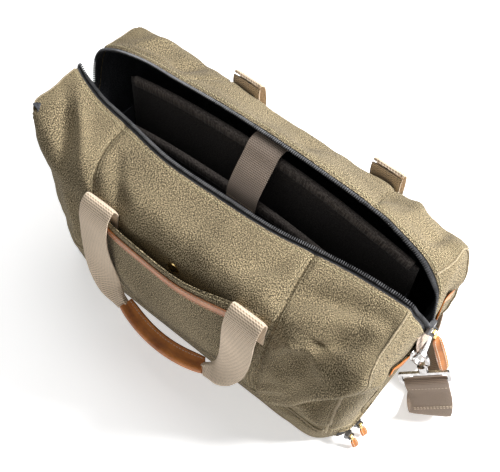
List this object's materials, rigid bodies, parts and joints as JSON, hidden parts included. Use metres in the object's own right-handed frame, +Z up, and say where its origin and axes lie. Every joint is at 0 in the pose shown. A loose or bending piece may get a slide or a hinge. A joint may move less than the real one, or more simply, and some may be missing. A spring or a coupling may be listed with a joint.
{
  "type": "laptop travel bag",
  "caption": "Soft canvas travel bag standing open, with a padded laptop sleeve inside, webbing handles with leather grips and a shoulder strap on swivel hooks.",
  "frame": {"origin": "middle of the footprint, on the surface that the bag stands on", "axes": "+X along the bag's length towards its zip-slider end, -Y towards the front pocket, +Z up"},
  "size_m": [0.573, 0.3035, 0.246],
  "materials": {
    "canvas": "marled canvas",
    "board": "matt sheet",
    "lining": "plain woven",
    "sleeve_padding": "quilted foam",
    "binding": "grosgrain",
    "webbing": "ribbed cotton webbing",
    "hook_and_loop": "hook and loop",
    "zip_tape": "herringbone tape",
    "zip_metal": "dark nickel",
    "leather": "oiled tan leather",
    "brass": "polished",
    "hardware": "dark nickel"
  },
  "bodies": {
    "bag": {"base_tub": "canvas", "bottom_board": "board", "base_pocket_divider": "lining", "front_panel_center": "canvas", "front_panel_left": "canvas", "front_panel_right": "canvas", "back_panel_center": "canvas", "back_panel_left": "canvas", "back_panel_right": "canvas", "end_gusset_left": "canvas", "end_gusset_right": "canvas", "lining": "lining", "sleeve_back_pad": "sleeve_padding", "sleeve_front_pad": "sleeve_padding", "sleeve_gusset": "lining", "sleeve_front_binding": "binding", "sleeve_back_binding": "binding", "sleeve_tab_anchor": "webbing", "loop_patch": "hook_and_loop", "main_zip_tape_front": "zip_tape", "main_zip_tape_back": "zip_tape", "main_zip_teeth_front": "zip_metal", "main_zip_teeth_back": "zip_metal", "front_handle_anchors": "webbing", "back_handle_anchors": "webbing", "front_pocket_panel": "canvas", "front_pocket_trim": "leather", "pocket_snap_stud": "brass", "pocket_snap_socket": "brass", "end_pocket_panel": "canvas", "end_pocket_trim": "leather", "base_zip_tape": "zip_tape", "base_zip_teeth": "zip_metal", "d_ring_tab_left": "webbing", "d_ring_tab_right": "webbing", "shoulder_strap": "webbing", "snap_hook_eye_left": "hardware", "snap_hook_eye_right": "hardware"},
    "sleeve_tab": {"sleeve_tab_strap": "webbing", "hook_patch": "hook_and_loop"},
    "front_handle": {"front_handle_webbing": "webbing", "front_handle_grip": "leather"},
    "back_handle": {"back_handle_webbing": "webbing", "back_handle_grip": "leather"},
    "main_slider": {"main_zip_slider": "zip_metal"},
    "main_pull": {"main_zip_link": "zip_metal", "main_zip_pull": "leather"},
    "base_slider_1": {"base_zip_slider_1": "zip_metal"},
    "base_slider_2": {"base_zip_slider_2": "zip_metal"},
    "base_pull_1": {"base_zip_link_1": "zip_metal", "base_zip_pull_1": "leather"},
    "base_pull_2": {"base_zip_link_2": "zip_metal", "base_zip_pull_2": "leather"},
    "strap_adjuster": {"strap_adjuster": "hardware"},
    "d_ring_left": {"d_ring_left": "hardware"},
    "snap_hook_left": {"snap_hook_body_left": "hardware"},
    "snap_gate_left": {"snap_hook_gate_left": "hardware"},
    "d_ring_right": {"d_ring_right": "hardware"},
    "snap_hook_right": {"snap_hook_body_right": "hardware"},
    "snap_gate_right": {"snap_hook_gate_right": "hardware"}
  },
  "joints": [
    {"name": "front_handle_lift", "type": "hinge", "parent": "bag", "child": "front_handle", "pos_m": [0, -0.119, 0.198], "axis": [-1, 0, 0], "range_deg": [0, 150]},
    {"name": "back_handle_lift", "type": "hinge", "parent": "bag", "child": "back_handle", "pos_m": [0, 0.111, 0.198], "axis": [1, 0, 0], "range_deg": [0, 150]},
    {"name": "sleeve_tab_lift", "type": "hinge", "parent": "bag", "child": "sleeve_tab", "pos_m": [0, 0.0184, 0.2322], "axis": [-1, 0, 0], "range_deg": [0, 20]},
    {"name": "main_slider_travel", "type": "slide", "parent": "bag", "child": "main_slider", "axis": [0.12, 0, 0.9928], "range_m": [0, 0.008]},
    {"name": "main_pull_swing", "type": "hinge", "parent": "main_slider", "child": "main_pull", "pos_m": [0.2308, 0.002, 0.161], "axis": [0, -1, 0], "range_deg": [0, 110]},
    {"name": "base_slider_1_travel", "type": "slide", "parent": "bag", "child": "base_slider_1", "axis": [0, 1, 0], "range_m": [-0.002, 0.002]},
    {"name": "base_slider_2_travel", "type": "slide", "parent": "bag", "child": "base_slider_2", "axis": [0, 1, 0], "range_m": [-0.003, 0.08]},
    {"name": "base_pull_1_swing", "type": "hinge", "parent": "base_slider_1", "child": "base_pull_1", "pos_m": [0.2154, -0.077, 0.016], "axis": [0, -1, 0], "range_deg": [0, 115]},
    {"name": "base_pull_2_swing", "type": "hinge", "parent": "base_slider_2", "child": "base_pull_2", "pos_m": [0.2154, -0.06, 0.016], "axis": [0, -1, 0], "range_deg": [0, 115]},
    {"name": "adjuster_travel", "type": "slide", "parent": "bag", "child": "strap_adjuster", "axis": [1, 0, 0], "range_m": [-0.045, 0.045]},
    {"name": "d_ring_right_swing", "type": "hinge", "parent": "bag", "child": "d_ring_right", "pos_m": [0.2226, 0, 0.134], "axis": [0, -1, 0], "range_deg": [-3, 3]},
    {"name": "snap_hook_right_swivel", "type": "hinge", "parent": "bag", "child": "snap_hook_right", "pos_m": [0.22642, 0, 0.11233], "axis": [0.454, 0, -0.891], "range_deg": [-10, 10]},
    {"name": "snap_gate_right_open", "type": "hinge", "parent": "snap_hook_right", "child": "snap_gate_right", "pos_m": [0.23881, 0, 0.1063], "axis": [0, -1, 0], "range_deg": [0, 12], "stiffness_Nm_per_rad": 0.02, "springref_deg": -5.73},
    {"name": "d_ring_left_swing", "type": "hinge", "parent": "bag", "child": "d_ring_left", "pos_m": [-0.2226, 0, 0.134], "axis": [0, 1, 0], "range_deg": [-3, 3]},
    {"name": "snap_hook_left_swivel", "type": "hinge", "parent": "bag", "child": "snap_hook_left", "pos_m": [-0.22642, 0, 0.11233], "axis": [-0.454, 0, -0.891], "range_deg": [-10, 10]},
    {"name": "snap_gate_left_open", "type": "hinge", "parent": "snap_hook_left", "child": "snap_gate_left", "pos_m": [-0.23881, 0, 0.1063], "axis": [0, 1, 0], "range_deg": [0, 12], "stiffness_Nm_per_rad": 0.02, "springref_deg": -5.73}
  ]
}
